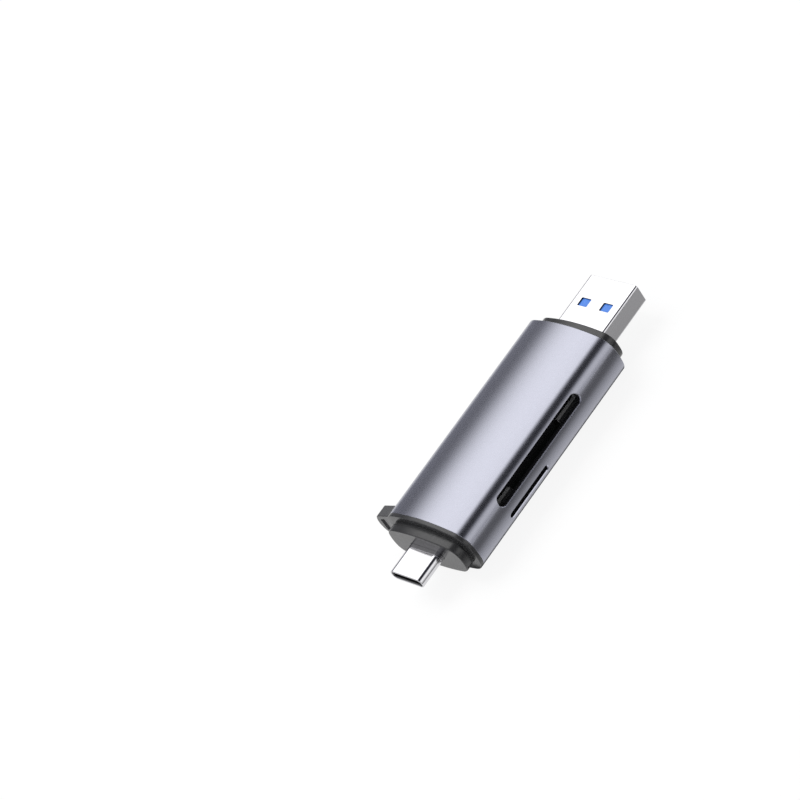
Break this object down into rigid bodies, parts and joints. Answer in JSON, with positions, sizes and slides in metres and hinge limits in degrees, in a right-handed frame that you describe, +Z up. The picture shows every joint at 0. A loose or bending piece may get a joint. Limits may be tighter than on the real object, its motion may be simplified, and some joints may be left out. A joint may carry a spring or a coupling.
{
  "type": "usb memory card reader",
  "caption": "Slim two-ended card reader: aluminium sleeve, plastic end caps with a wide and a narrow plug, a strap lug and card mouths along one side.",
  "frame": {"origin": "centre of the nose face that the wide plug stands out of", "axes": "+X along the sleeve towards the wide plug's tip, +Y towards the strap lug, card mouths on the -Y side, +Z up on the face nearer the large card mouth"},
  "size_m": [0.0707, 0.0255, 0.012],
  "materials": {
    "satin_aluminium": "satin bead-blasted anodised, bluish grey",
    "dark_plastic": "semi-gloss dark grey moulded plastic",
    "carrier_plastic": "matte black moulded plastic",
    "plug_steel": "bright nickel-plated steel sheet",
    "blue_plastic": "bright blue moulded plastic",
    "black_plastic": "matte black moulded plastic",
    "contact_metal": "gold-plated contact",
    "cover_steel": "plain rolled stainless sheet",
    "board_laminate": "black solder resist on glass laminate",
    "ceramic": "fired ceramic"
  },
  "bodies": {
    "root": {"sleeve": "satin_aluminium", "usb_a_end_cap": "dark_plastic", "usb_c_end_cap": "dark_plastic", "strap_lug": "dark_plastic", "upper_carrier": "carrier_plastic", "lower_carrier": "carrier_plastic", "circuit_board": "board_laminate", "usb_a_shell": "plug_steel", "usb_a_tongue": "blue_plastic", "usb_a_front_contacts": "contact_metal", "usb_a_rear_contacts": "contact_metal", "usb_a_rear_block": "blue_plastic", "usb_c_shell": "plug_steel", "usb_c_insulator": "black_plastic", "usb_c_upper_contacts": "contact_metal", "usb_c_lower_contacts": "contact_metal", "usb_c_latch_fork": "cover_steel", "large_card_socket_body": "black_plastic", "large_card_socket_base": "black_plastic", "large_card_socket_cover": "cover_steel", "large_card_contacts": "contact_metal", "small_card_socket_body": "black_plastic", "small_card_socket_base": "black_plastic", "small_card_socket_cover": "cover_steel", "small_card_contacts": "contact_metal", "controller_chip": "black_plastic", "controller_leads": "contact_metal", "voltage_regulator": "black_plastic", "regulator_leads": "contact_metal", "crystal": "cover_steel", "capacitors": "ceramic", "resistors": "black_plastic"}
  },
  "joints": []
}
